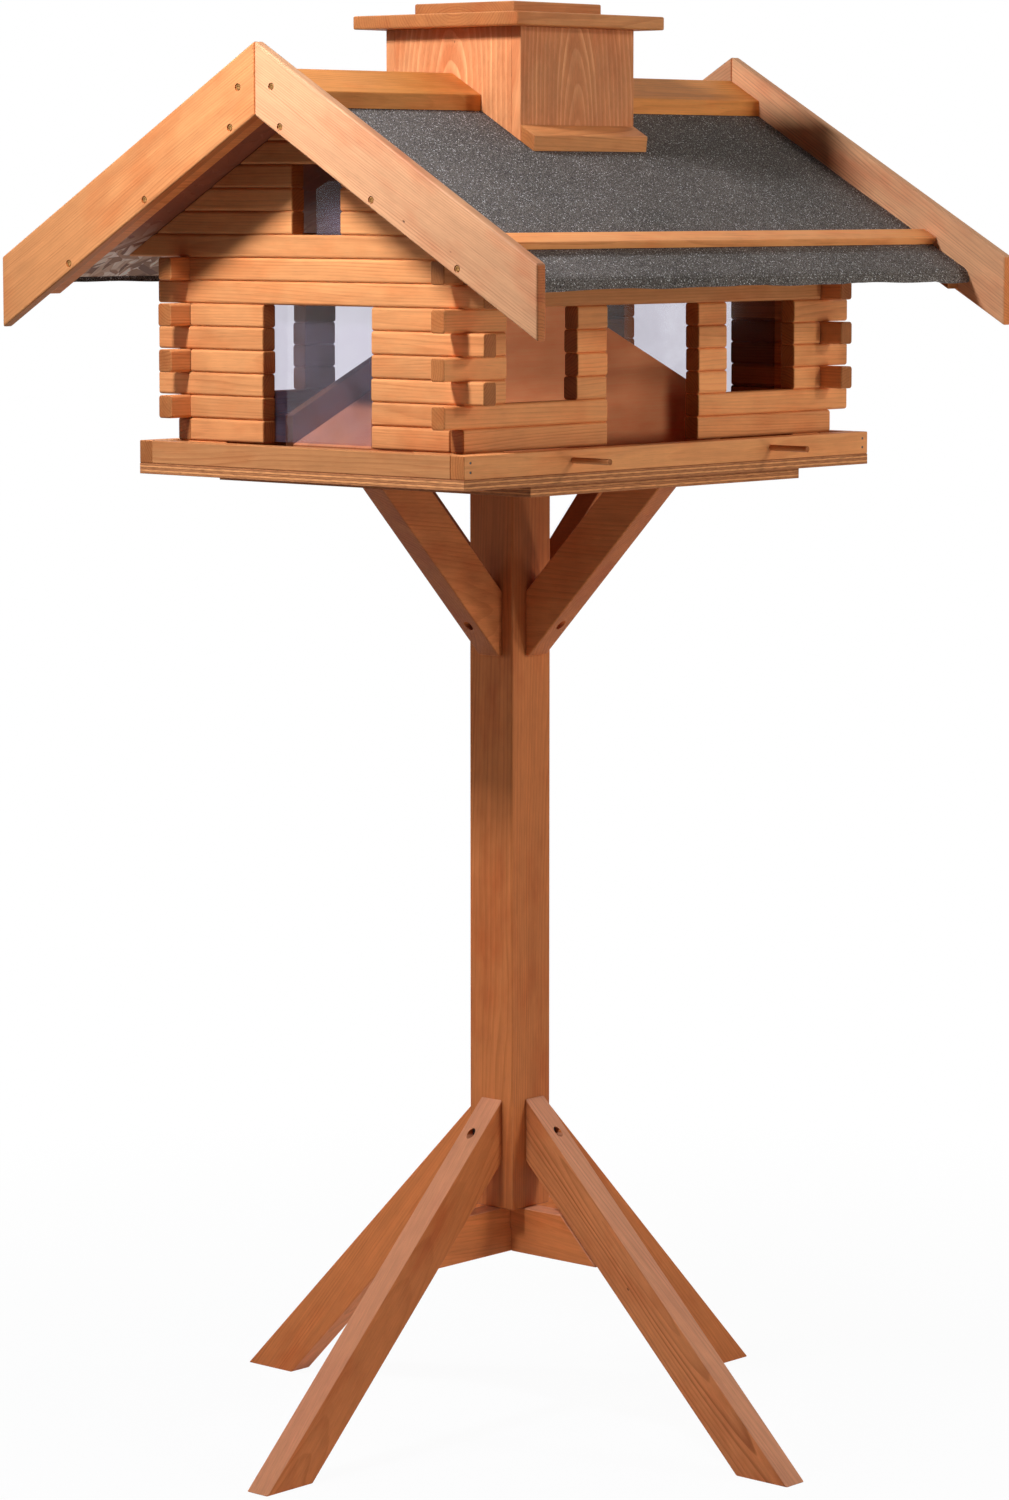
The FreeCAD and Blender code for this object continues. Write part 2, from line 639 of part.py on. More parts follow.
for name, sign in (("front", -1), ("back", 1)):
    panel_reach = "(lay.eave_half - dims.felt_thick * (cos(dims.pitch) + sin(dims.pitch)))"
    panel = prism("roof_panel_%s_blank" % name, "YZ_Plane",
                  slab("lay.soffit", "lay.panel_top", panel_reach, sign), "-" + ROOF_X, "2 * " + ROOF_X)
    keep(cut("roof_panel_" + name, panel, [well]), "roof_panel_" + name)
    nose_y = "(lay.eave_half + dims.felt_beyond)"
    inner_y = "(%s - dims.felt_thick)" % nose_y
    lip_z = "lay.felt_top - %s * lay.rise - dims.felt_drop" % nose_y
    felt = [
        ("0", "lay.panel_top"),
        ("0", "lay.felt_top"),
        ("%d * %s" % (sign, nose_y), "lay.felt_top - %s * lay.rise" % nose_y),
        ("%d * %s" % (sign, nose_y), lip_z),
        ("%d * %s" % (sign, inner_y), lip_z),
        ("%d * %s" % (sign, inner_y), "lay.panel_top - %s * lay.rise" % inner_y),
    ]
    sheet = prism("felt_%s_blank" % name, "YZ_Plane", felt, "-" + ROOF_X, "2 * " + ROOF_X)
    keep(cut("felt_" + name, sheet, [well]), "felt_" + name)

rafters = []
ridge_boards = []
barge_screws = []
for gable, gx in (("left", -1), ("right", 1)):
    for end, gy in (("front", -1), ("back", 1)):
        tag = "%s_%s" % (gable, end)
        bores = []
        points = (("dims.top_screw_out", "dims.top_screw_down"), ("dims.row_out_1", "dims.row_down"),
                  ("dims.row_out_2", "dims.row_down"), ("dims.row_out_3", "dims.row_down"))
        for number, (out, down) in enumerate(points):
            where = ("%d * (%s + dims.barge_thick - 1.6)" % (gx, ROOF_X), "%d * %s" % (gy, out),
                     "lay.barge_top - %s * lay.rise - %s" % (out, down))
            label = "barge_screw_%s_%d" % (tag, number)
            barge_screws.append(spin(label, barge_screw, *where, toward((-gx, 0, 0))))
            bores.append(spin(label + "_bore", barge_bore, *where, toward((-gx, 0, 0))))
        start = "-%s - dims.barge_thick" % ROOF_X if gx < 0 else ROOF_X
        reach = "lay.barge_half_y"
        barge = prism("barge_%s_blank" % tag, "YZ_Plane", [
            ("0", "lay.barge_under"), ("0", "lay.barge_top"),
            ("%d * %s" % (gy, reach), "lay.barge_top - %s * lay.rise" % reach),
            ("%d * %s" % (gy, reach), "lay.barge_under - %s * lay.rise" % reach),
        ], start, "dims.barge_thick")
        keep(cut("barge_" + tag, barge, bores), "barge_" + tag)
        start = "-" + ROOF_X if gx < 0 else ROOF_X + " - dims.rafter_thick"
        tip, level, heel, foot = ("lay.rafter_tip", "lay.rafter_level", "lay.rafter_heel", "lay.rafter_level")
        if gx > 0:
            tip, level, heel, foot = ("lay.rafter_far", "lay.soffit - lay.rafter_far * lay.rise",
                                      "lay.rafter_far", "lay.rafter_under - lay.rafter_far * lay.rise")
        rafter = prism("rafter_%s_blank" % tag, "YZ_Plane", [
            ("0", "lay.rafter_under"), ("0", "lay.soffit"), ("%d * %s" % (gy, tip), level),
            ("%d * %s" % (gy, heel), foot),
        ], start, "dims.rafter_thick")
        rafters.append(cut("rafter_" + tag, rafter, bores[1:]))
        start = "-" + ROOF_X if gx < 0 else "lay.flue_half_x"
        board = prism("ridge_board_%s_blank" % tag, "YZ_Plane", [
            ("0", "lay.felt_top"), ("0", "lay.ridge_top"),
            ("%d * dims.ridge_half" % gy, "lay.ridge_top - dims.ridge_half * lay.rise"),
            ("%d * dims.ridge_half" % gy, "lay.felt_top - dims.ridge_half * lay.rise"),
        ], start, ROOF_X + " - lay.flue_half_x")
        ridge_boards.append(cut("ridge_board_" + tag, board, bores[:1]))
group("rafters", rafters)
group("ridge_boards", ridge_boards)
group("barge_screws", barge_screws)

for name, sign in (("front", -1), ("back", 1)):
    low = "(lay.eave_half - dims.batten_inset * cos(dims.pitch))"
    high = "(%s - dims.batten_wide * cos(dims.pitch))" % low
    lean = "dims.batten_thick * sin(dims.pitch)"
    lift = "dims.batten_thick * cos(dims.pitch)"
    batten = prism("batten_" + name, "YZ_Plane", [
        ("%d * %s" % (sign, low), "lay.felt_top - %s * lay.rise" % low),
        ("%d * (%s + %s)" % (sign, low, lean), "lay.felt_top - %s * lay.rise + %s" % (low, lift)),
        ("%d * (%s + %s)" % (sign, high, lean), "lay.felt_top - %s * lay.rise + %s" % (high, lift)),
        ("%d * %s" % (sign, high), "lay.felt_top - %s * lay.rise" % high),
    ], "-" + ROOF_X, "2 * " + ROOF_X)
    keep(batten, "batten_" + name)

# Chimney: four boards scribed to the slopes, foot strips front and back, and the lid that lifts off

FX = "lay.flue_half_x"
saddle = [roof_tool("saddle_front", -1, "lay.felt_top", "-500"),
          roof_tool("saddle_back", 1, "lay.felt_top", "-500")]
BASE = "lay.felt_top - 120"
flue = [
    ("chimney_front", "-" + FX, FX, "-lay.flue_half_y", "-lay.flue_inner_y"),
    ("chimney_back", "-" + FX, FX, "lay.flue_inner_y", "lay.flue_half_y"),
    ("chimney_left", "-" + FX, "-lay.flue_inner_x", "-lay.flue_inner_y", "lay.flue_inner_y"),
    ("chimney_right", "lay.flue_inner_x", FX, "-lay.flue_inner_y", "lay.flue_inner_y"),
]
for label, x0, x1, y0, y1 in flue:
    blank = box(label + "_blank", x0, x1, y0, y1, BASE, "lay.flue_top")
    keep(cut(label, blank, saddle), label)

strips = []
for name, sign in (("front", -1), ("back", 1)):
    root = "lay.flue_half_y"
    toe = "(lay.flue_half_y + dims.apron_wide * cos(dims.pitch))"
    tilt = "(dims.apron_thick * sin(dims.pitch) / 5)"
    lift = "(dims.apron_thick * cos(dims.pitch))"
    strips.append(prism("chimney_strip_" + name, "YZ_Plane", [
        ("%d * %s" % (sign, root), "lay.felt_top - %s * lay.rise" % root),
        ("%d * (%s - %s)" % (sign, toe, tilt), "lay.felt_top - (%s - %s) * lay.rise" % (toe, tilt)),
        ("%d * %s" % (sign, toe), "lay.felt_top - %s * lay.rise + %s" % (toe, lift)),
        ("%d * %s" % (sign, root), "lay.felt_top - %s * lay.rise + %s" % (root, lift)),
    ], "-" + FX, "2 * " + FX))
group("chimney_strips", strips)

keep(box("lid_plate", "-dims.lid_x / 2", "dims.lid_x / 2", "dims.lid_shift_y - dims.lid_y / 2",
         "dims.lid_shift_y + dims.lid_y / 2", "lay.flue_top", "lay.lid_top"), "lid_plate")
keep(box("lid_crown", "dims.crown_shift_x - dims.crown_x / 2", "dims.crown_shift_x + dims.crown_x / 2",
         "dims.crown_shift_y - dims.crown_y / 2", "dims.crown_shift_y + dims.crown_y / 2",
         "lay.lid_top", "lay.lid_top + dims.crown_thick"), "lid_crown")

# Check every object and write one file per node

doc.recompute()
for obj in doc.Objects:
    states = [s for s in obj.State if s in ("Invalid", "Error")]
    if states:
        raise RuntimeError("%s is %s" % (obj.Label, states))

os.makedirs("parts", exist_ok=True)
for obj in nodes:
    shape = obj.Shape
    if shape.isNull() or not shape.isValid() or not shape.Solids:
        raise RuntimeError("bad shape in " + obj.Label)
    shape.exportStep("parts/%s.step" % obj.Label)
print("nodes", len(nodes))
print("solids", sum(len(o.Shape.Solids) for o in nodes))
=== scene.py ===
import math
import random

import bmesh
import bpy
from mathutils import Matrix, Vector


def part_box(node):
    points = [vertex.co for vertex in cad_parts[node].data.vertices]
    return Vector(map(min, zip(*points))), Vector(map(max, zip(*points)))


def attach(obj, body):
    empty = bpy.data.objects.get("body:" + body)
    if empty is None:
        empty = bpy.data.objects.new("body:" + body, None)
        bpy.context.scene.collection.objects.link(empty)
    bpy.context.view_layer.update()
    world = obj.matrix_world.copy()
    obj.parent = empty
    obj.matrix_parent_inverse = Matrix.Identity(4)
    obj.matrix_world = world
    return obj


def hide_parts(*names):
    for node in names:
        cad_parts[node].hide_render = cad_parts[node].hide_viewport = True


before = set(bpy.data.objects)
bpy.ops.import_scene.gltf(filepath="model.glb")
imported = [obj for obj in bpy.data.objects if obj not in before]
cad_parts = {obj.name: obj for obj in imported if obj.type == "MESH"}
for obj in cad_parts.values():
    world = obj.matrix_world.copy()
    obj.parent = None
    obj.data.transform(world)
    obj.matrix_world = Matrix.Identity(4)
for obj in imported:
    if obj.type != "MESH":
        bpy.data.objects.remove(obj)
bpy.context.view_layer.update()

# Lengths are metres and colours linear throughout. Random draws come from RING alone, in the order in
# which the pieces are made, so a change of that order changes the figure of every board after it.
RING = random.Random(20417)
UP = (0.0, 0.0, 1.0)
ALONG_X, ALONG_Y = (1.0, 0.0, 0.0), (0.0, 1.0, 0.0)

# ---------------------------------------------------------------- shader graphs

MIX_FACTOR, MIX_FIRST, MIX_SECOND, MIX_RESULT = 0, 6, 7, 2  # sockets of the mix node for colours


class Graph:
    """Small builder for the node tree of a material or a world."""

    def __init__(self, owner, output="OutputMaterial"):
        owner.use_nodes = True
        self.owner = owner
        self.tree = owner.node_tree
        self.tree.nodes.clear()
        self.output = self.node(output)

    def set(self, socket, value):
        """Links a socket to another or sets its own value. None leaves it as it is."""
        if isinstance(value, bpy.types.NodeSocket):
            self.tree.links.new(value, socket)
        elif value is not None:
            socket.default_value = value

    def node(self, kind, props=None, **inputs):
        """New shader node. An underscore in an input's name stands for a space."""
        n = self.tree.nodes.new("ShaderNode" + kind)
        for key, value in (props or {}).items():
            setattr(n, key, value)
        for key, value in inputs.items():
            self.set(n.inputs[key.replace("_", " ")], value)
        return n

    def math(self, op, a, b=None, c=None):
        n = self.node("Math", {"operation": op})
        for socket, value in zip(n.inputs, (a, b, c)):
            self.set(socket, value)
        return n.outputs[0]

    def product(self, first, *others):
        for factor in others:
            first = self.math("MULTIPLY", first, factor)
        return first

    def vmath(self, op, a, b=None):
        n = self.node("VectorMath", {"operation": op})
        self.set(n.inputs[0], a)
        self.set(n.inputs[1], b)
        return n.outputs["Value" if op in ("LENGTH", "DOT_PRODUCT") else "Vector"]

    def noise(self, vector, scale=1.0, detail=2.0, rough=0.5, warp=0.0):
        n = self.node("TexNoise", None, Vector=vector, Scale=scale, Detail=detail, Roughness=rough,
                      Distortion=warp)
        return n.outputs["Fac"]

    def stretched(self, vector, scales, detail=2.0, rough=0.5):
        """Noise with its own scale on each axis."""
        return self.noise(self.vmath("MULTIPLY", vector, scales), 1.0, detail, rough)

    def cells(self, vector, scale=1.0):
        """Random cells, as the node itself: its Distance draws dots, its Color picks among them."""
        return self.node("TexVoronoi", {"feature": "F1"}, Vector=vector, Scale=scale, Randomness=1.0)

    def dots(self, cells, core, rim, few, many):
        """Round dots of radius core to rim in the cells whose grey value is above few to many."""
        return self.math("MULTIPLY", self.range(cells.outputs["Distance"], core, rim, 1.0, 0.0),
                         self.range(self.grey(cells.outputs["Color"]), few, many, 0.0, 1.0))

    def grey(self, colour):
        return self.node("RGBToBW", None, Color=colour).outputs[0]

    def ramp(self, fac, stops):
        """Straight steps between stops, each a place and a grey value or a colour."""
        n = self.node("ValToRGB", None, Fac=fac)
        elements = n.color_ramp.elements
        while len(elements) < len(stops):
            elements.new(0.5)
        for element, (place, value) in zip(elements, stops):
            element.position = place
            element.color = (*value, 1) if isinstance(value, tuple) else (value, value, value, 1)
        return n.outputs["Color"]

    def mix(self, fac, a, b, kind="MIX"):
        n = self.node("Mix", {"data_type": "RGBA", "blend_type": kind, "clamp_result": False})
        for number, value in ((MIX_FACTOR, fac), (MIX_FIRST, a), (MIX_SECOND, b)):
            self.set(n.inputs[number], (*value, 1) if isinstance(value, tuple) else value)
        return n.outputs[MIX_RESULT]

    def blend(self, fac, first, second):
        """Mixes two shader nodes."""
        n = self.node("MixShader", None, Fac=fac)
        self.tree.links.new(first.outputs[0], n.inputs[1])
        self.tree.links.new(second.outputs[0], n.inputs[2])
        return n

    def range(self, value, low, high, to_low, to_high):
        """Maps low..high onto to_low..to_high and holds the value beyond both."""
        n = self.node("MapRange", None, Value=value, From_Min=low, From_Max=high, To_Min=to_low,
                      To_Max=to_high)
        return n.outputs["Result"]

    def place(self):
        """Coordinates of the object itself."""
        return self.node("TexCoord").outputs["Object"]

    def attribute(self, name, output="Fac"):
        """A value that the mesh carries on its points or faces."""
        n = self.node("Attribute", {"attribute_name": name, "attribute_type": "GEOMETRY"})
        return n.outputs[output]

    def bump(self, height, distance, strength):
        n = self.node("Bump", None, Height=height, Distance=distance, Strength=strength)
        return n.outputs["Normal"]

    def sees_background(self):
        """1 for rays that show what is behind the object: direct, mirrored and through a pane."""
        seen = self.node("LightPath").outputs
        indirect = self.math("MAXIMUM", seen["Is Glossy Ray"], seen["Is Transmission Ray"])
        return self.math("MAXIMUM", seen["Is Camera Ray"], indirect)

    def finish(self, shader):
        """Links the last shader node to the output and gives back the material or world."""
        self.tree.links.new(shader.outputs[0], self.output.inputs["Surface"])
        return self.owner

    def surface(self, colour, rough, normal, **more):
        """Finishes a material with the usual surface shader."""
        shader = self.node("BsdfPrincipled", None, Base_Color=colour, Roughness=rough, Normal=normal, **more)
        return self.finish(shader)


def srgb(r, g, b):
    """Linear colour from 0-255 display values."""
    def lin(v):
        v /= 255
        return v / 12.92 if v <= 0.04045 else ((v + 0.055) / 1.055) ** 2.4
    return (lin(r), lin(g), lin(b))


def darker(colour, share):
    return tuple(c * share for c in colour)


# ---------------------------------------------------------------- materials

WHITE = (1.0, 1.0, 1.0)
LOW_GLOSS = 0.12  # specular level of oiled timber, ply and grit
TIMBER_ROUGH = 0.50
YEAR = 0.0030  # usual width of a year's ring


def wood(name, light, dark, red, contrast=1.0, spacing=YEAR, pale_rings=False, groove_shade=False, top_sheen=None,
         ends=(0.54, 0.45, 0.36)):
    """Solid timber cut from a log: rings round a pith, fibres along it, stain soaked into end grain.

    light and dark are the early and the late wood, red tints broad patches. pale_rings makes the late
    wood stand proud, groove_shade paints deep shade on eased edges that look down, as in the grooves
    between logs, top_sheen is the colour of a sheen painted on faces that look up, and ends holds the
    shares of red, green and blue that are left on end grain.
    """
    g = Graph(bpy.data.materials.new(name))
    p = g.attribute("grain", "Vector")
    tone, end, edge = g.attribute("tone"), g.attribute("end"), g.attribute("edge")

    # Rings: the distance from the pith, a little disturbed, cut into years of uneven strength.
    radius = g.vmath("LENGTH", g.vmath("MULTIPLY", p, (0.0, 1.0, 1.0)))
    for scales, reach in (((2.2, 16.0, 16.0), 0.020), ((10.0, 70.0, 70.0), 0.0022)):
        waver = g.math("SUBTRACT", g.stretched(p, scales), 0.5)
        radius = g.math("MULTIPLY_ADD", waver, reach, radius)
    years = g.math("DIVIDE", radius, spacing)
    late = g.ramp(g.math("FRACT", years), [(0.0, 0.0), (0.45, 0.10), (0.86, 1.0), (0.94, 0.9), (1.0, 0.0)])
    weather = g.noise(g.node("CombineXYZ", None, X=years).outputs[0], 0.37, 1.0)

    # Figure along the grain, from hair-fine to hand-wide.
    pore = g.stretched(p, (60.0, 1500.0, 1500.0), 1.0)
    fibre = g.stretched(p, (14.0, 620.0, 620.0), 3.0, 0.6)
    streak = g.stretched(p, (2.4, 75.0, 75.0))
    cloud = g.stretched(p, (30.0, 60.0, 60.0), 3.0, 0.6)
    patch = g.stretched(p, (9.0, 22.0, 22.0), 3.0, 0.6)

    amount = g.product(late, g.range(weather, 0.35, 0.65, 0.25, 1.0), g.range(streak, 0.3, 0.7, 0.45, 1.0),
                       g.math("MULTIPLY_ADD", end, 0.3, 0.62 * contrast))
    colour = g.mix(amount, light, dark)
    colour = g.mix(g.range(patch, 0.48, 0.72, 0.0, 0.6), colour, g.mix(1.0, colour, red, "MULTIPLY"))
    value = g.product(g.range(fibre, 0.25, 0.75, 0.90, 1.08), g.range(streak, 0.3, 0.7, 0.92, 1.07),
                      g.range(cloud, 0.3, 0.7, 0.94, 1.05), g.range(pore, 0.62, 0.8, 1.0, 0.84),
                      g.math("MULTIPLY_ADD", tone, 0.22, 0.88))

    # Faces that look up get a paler colour, a painted sheen. Eased edges get painted light where they look up
    # and painted shade where they look down.
    rise = g.vmath("DOT_PRODUCT", g.node("NewGeometry").outputs["Normal"], UP)
    if top_sheen:
        colour = g.mix(g.range(rise, 0.22, 0.45, 0.0, 0.5), colour, top_sheen)
    eased = g.range(rise, -0.45, 0.35, 0.42 if groove_shade else 0.9, 1.12)
    value = g.math("MULTIPLY", value, g.math("MULTIPLY_ADD", edge, g.math("SUBTRACT", eased, 1.0), 1.0))

    # A dark speck here and there.
    spots = g.cells(g.vmath("MULTIPLY", p, (14.0, 30.0, 30.0)))
    speck = g.math("MULTIPLY", g.dots(spots, 0.018, 0.034, 0.66, 0.68), 0.75)
    value = g.math("MULTIPLY", value, g.math("SUBTRACT", 1.0, speck))

    soaked = [g.math("MULTIPLY", value, g.range(end, 0.0, 1.0, 1.0, share)) for share in ends]
    shade = g.node("CombineColor", None, Red=soaked[0], Green=soaked[1], Blue=soaked[2]).outputs[0]
    colour = g.mix(1.0, colour, shade, "MULTIPLY")
    height = g.math("ADD", g.math("MULTIPLY", amount, 0.3 if pale_rings else -0.25),
                    g.math("MULTIPLY", fibre, 0.75))
    height = g.math("SUBTRACT", height, g.math("MULTIPLY", speck, 2.0))
    return g.surface(colour, g.range(fibre, 0.2, 0.8, TIMBER_ROUGH + 0.08, TIMBER_ROUGH - 0.05),
                     g.bump(height, 0.0004, 0.5), Specular_IOR_Level=LOW_GLOSS)


def plywood(name, face, pale, dark):
    """Sheet of five plies: straight grain on the faces, long and end plies with glue lines on the edges."""
    g = Graph(bpy.data.materials.new(name))
    p = g.attribute("grain", "Vector")
    warp = g.math("SUBTRACT", g.stretched(p, (7.0, 7.0, 60.0)), 0.5)
    level = g.math("MULTIPLY_ADD", warp, 0.030, g.attribute("layer"))
    mid = tuple((a + b) / 2 for a, b in zip(pale, dark))
    plies = g.ramp(level, [
        (0.0, mid), (0.17, mid), (0.19, dark), (0.22, pale), (0.38, pale), (0.40, dark), (0.43, mid),
        (0.57, mid), (0.60, dark), (0.63, pale), (0.78, pale), (0.81, dark), (0.84, mid), (1.0, mid)])
    streak = g.stretched(p, (10.0, 260.0, 260.0), 3.0, 0.6)
    speck = g.stretched(p, (90.0, 90.0, 900.0), 2.0, 0.6)
    skin = g.mix(g.range(streak, 0.3, 0.7, 0.0, 1.0), face, darker(face, 0.72))
    edge = g.mix(g.range(speck, 0.42, 0.70, 0.0, 0.45), plies, darker(dark, 0.6))
    height = g.math("ADD", g.grey(plies), g.math("MULTIPLY", speck, 0.4))
    return g.surface(g.mix(g.attribute("end"), skin, edge), 0.6, g.bump(height, 0.0006, 0.6),
                     Specular_IOR_Level=LOW_GLOSS)


def flake_board(name):
    """Board of large pressed wood flakes, with painted shade towards the ridge and painted light near the
    eaves.
    """
    g = Graph(bpy.data.materials.new(name))
    p = g.place()
    flakes = []
    for turn, shift in ((0.4, 0.0), (1.5, 3.1), (2.5, 7.7)):
        c, s = math.cos(turn), math.sin(turn)
        along = g.math("MULTIPLY_ADD", g.vmath("DOT_PRODUCT", p, (c, s, 0.0)), 30.0, shift)
        across = g.math("MULTIPLY_ADD", g.vmath("DOT_PRODUCT", p, (-s, c, 0.0)), 120.0, shift)
        flat = g.node("CombineXYZ", None, X=along, Y=across, Z=shift).outputs[0]
        flakes.append(g.cells(flat).outputs["Color"])
    colour = g.mix(g.range(g.noise(p, 36.0, 1.0), 0.46, 0.5, 0.0, 1.0), flakes[0], flakes[1])
    colour = g.mix(g.range(g.noise(p, 41.0, 1.0), 0.5, 0.54, 0.0, 1.0), colour, flakes[2])
    grey = g.grey(colour)
    tint = g.ramp(grey, [(0.15, srgb(104, 70, 52)), (0.4, srgb(176, 138, 110)), (0.6, srgb(206, 180, 156)),
                         (0.85, srgb(240, 228, 212))])
    fine = g.stretched(p, (400.0, 60.0, 60.0))
    tint = g.mix(g.range(fine, 0.3, 0.7, 0.0, 0.3), tint, srgb(110, 78, 58))
    # Painted shade deep under the roof, darker and redder towards the ridge, and painted light, paler flakes,
    # near the eaves.
    from_ridge = g.math("ABSOLUTE", g.vmath("DOT_PRODUCT", p, ALONG_Y))
    painted_ridge_shade = g.mix(1.0, g.mix(0.75, tint, WHITE), srgb(150, 84, 54), "MULTIPLY")
    painted_eave_light = g.mix(1.0, tint, (1.4, 1.4, 1.4), "MULTIPLY")
    return g.surface(g.mix(g.range(from_ridge, 0.20, 0.27, 0.0, 1.0), painted_ridge_shade, painted_eave_light), 0.7,
                     g.bump(grey, 0.0012, 0.7))


def felt(name):
    """Bitumen felt with mineral grit: pale and dark grains on a charcoal ground, and near-white dots that are
    painted glints.
    """
    g = Graph(bpy.data.materials.new(name))
    p = g.place()
    cloud = g.range(g.noise(p, 7.0, 3.0, 0.6), 0.35, 0.65, 0.0, 1.0)
    ground = g.mix(cloud, srgb(111, 103, 94), srgb(136, 125, 115))
    grit = g.noise(p, 900.0, 2.0, 0.7)
    colour = g.mix(g.range(grit, 0.36, 0.60, 0.0, 1.0), srgb(44, 40, 40), ground)
    grains = g.cells(p, 760.0)
    colour = g.mix(g.dots(grains, 0.34, 0.42, 0.56, 0.62), colour, srgb(176, 168, 160))
    # Near-white dots: painted glints on the grit.
    colour = g.mix(g.dots(g.cells(p, 520.0), 0.26, 0.32, 0.72, 0.74), colour, srgb(250, 246, 240))
    height = g.math("ADD", g.math("MULTIPLY", grains.outputs["Distance"], -0.6), grit)
    return g.surface(colour, 0.85, g.bump(height, 0.0009, 0.8), Specular_IOR_Level=LOW_GLOSS)


def pane(name):
    """Clear sheet with a faint scuffed haze, glossy on its outer side only."""
    g = Graph(bpy.data.materials.new(name))
    smudge = g.noise(g.place(), 26.0, 4.0, 0.65, 0.6)
    clear = g.node("BsdfTransparent", None, Color=(0.80, 0.79, 0.84, 1))
    veil = g.node("BsdfDiffuse", None, Color=(*srgb(196, 176, 196), 1))
    body = g.blend(g.range(smudge, 0.35, 0.75, 0.03, 0.09), clear, veil)
    gloss = g.node("BsdfGlossy", None, Color=(*WHITE, 1), Roughness=0.10)
    fresnel = g.node("Fresnel", None, IOR=1.45).outputs[0]
    outside = g.math("SUBTRACT", 1.0, g.node("NewGeometry").outputs["Backfacing"])
    return g.finish(g.blend(g.product(fresnel, outside, 0.35), body, gloss))


def metal(name, colour, rough):
    """Screw metal with a slightly dulled, uneven skin."""
    g = Graph(bpy.data.materials.new(name))
    skin = g.noise(g.place(), 900.0)
    tint = g.mix(g.range(skin, 0.35, 0.7, 0.0, 1.0), colour, darker(colour, 0.6))
    return g.surface(tint, g.range(skin, 0.3, 0.7, rough - 0.06, rough + 0.12), g.bump(skin, 0.0001, 0.4),
                     Metallic=1.0)


ROOF_ENDS = (0.95, 0.62, 0.36)  # end grain of the barge boards, less soaked than the logs'
# Colour of the sheen painted on the faces of the stand's timber that look up.
PAINTED_TOP_SHEEN = srgb(230, 166, 130)
HOUSE = wood("timber_house", srgb(224, 149, 90), srgb(180, 101, 54), srgb(240, 206, 184), groove_shade=True)
RIDGE = wood("timber_ridge", srgb(224, 143, 72), srgb(180, 95, 38), srgb(240, 200, 168), groove_shade=True)
BARGE = wood("timber_barge", srgb(214, 141, 84), srgb(162, 88, 46), srgb(240, 200, 176), 0.9, 0.0024,
             ends=ROOF_ENDS)
PALE = wood("timber_pale", srgb(216, 156, 110), srgb(150, 86, 56), srgb(236, 176, 156), 0.95, 0.0024,
            ends=ROOF_ENDS)
CHIMNEY = wood("timber_chimney", srgb(196, 122, 74), srgb(236, 172, 116), srgb(230, 188, 160), 1.2, 0.0062,
               pale_rings=True)
STAND = wood("timber_stand", srgb(212, 124, 68), srgb(166, 87, 39), srgb(230, 190, 166), 0.85, 0.0034,
             top_sheen=PAINTED_TOP_SHEEN)
BOLD = wood("timber_stand_bold", srgb(218, 134, 80), srgb(142, 74, 36), srgb(230, 190, 166), 1.35, 0.0046,
            top_sheen=PAINTED_TOP_SHEEN)
INNER = wood("timber_inner", srgb(234, 152, 102), srgb(206, 124, 78), srgb(230, 196, 180), 0.25, 0.0040)
PLY = plywood("ply_sheet", srgb(163, 91, 51), srgb(240, 162, 100), srgb(112, 50, 26))
OSB = flake_board("flake_sheet")
FELT = felt("mineral_felt")
PANE = pane("clear_sheet")
BRASS = metal("screw_brass", srgb(164, 120, 70), 0.40)
STEEL = metal("screw_steel", srgb(84, 78, 74), 0.45)

# ---------------------------------------------------------------- pieces that stand for nodes


def settle(name, mesh, material, node, body):
    """Piece that stands for a node, on its body and in its finish."""
    mesh.materials.append(material)
    obj = bpy.data.objects.new(name, mesh)
    bpy.context.scene.collection.objects.link(obj)
    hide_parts(node)
    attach(obj, body)
    return obj


def smooth(obj, angle):
    """Smooth shading over the eased edges only, with flat faces kept flat."""
    for poly in obj.data.polygons:
        poly.use_smooth = True
    obj.data.set_sharp_from_angle(angle=math.radians(angle))
    weighted = obj.modifiers.new("normals", "WEIGHTED_NORMAL")
    weighted.keep_sharp = True
    weighted.weight = 90


def used_only(points, faces):
    """The same faces with the points that they use, numbered anew."""
    used = sorted({i for f in faces for i in f})
    renumber = {old: new for new, old in enumerate(used)}
    return [points[i] for i in used], [[renumber[i] for i in f] for f in faces]


def welded(mesh, digits):
    """Places of a mesh's points, rounded and each one once, and the number of each point's place."""
    places = {}
    numbers = [places.setdefault(tuple(round(c, digits) for c in v.co), len(places)) for v in mesh.vertices]
    return list(places), numbers


# ---------------------------------------------------------------- timber from the frame's solids

FLAT = math.radians(0.4)  # faces nearer to one plane than this are one face
SHARP = math.radians(28)  # edges above this are eased
EASED_AREA = 0.0004  # largest face that easing makes, in square metres
ALONG_RANGE = 9.0  # boards are cut anywhere along this many metres of log, either way


def solids_of(node):
    """The closed solids of a node, each as (corner points, faces)."""
    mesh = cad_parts[node].data
    points, numbers = welded(mesh, 6)
    found, faces, open_edges = [], [], {}
    for poly in mesh.polygons:
        corners = [numbers[i] for i in poly.vertices]
        if len(set(corners)) < 3:
            continue
        faces.append(corners)
        for a, b in zip(corners, corners[1:] + corners[:1]):
            if open_edges.get((b, a), 0):
                open_edges[(b, a)] -= 1
                if not open_edges[(b, a)]:
                    del open_edges[(b, a)]
            else:
                open_edges[(a, b)] = open_edges.get((a, b), 0) + 1
        if not open_edges:
            found.append(used_only(points, faces))
            faces = []
    return found


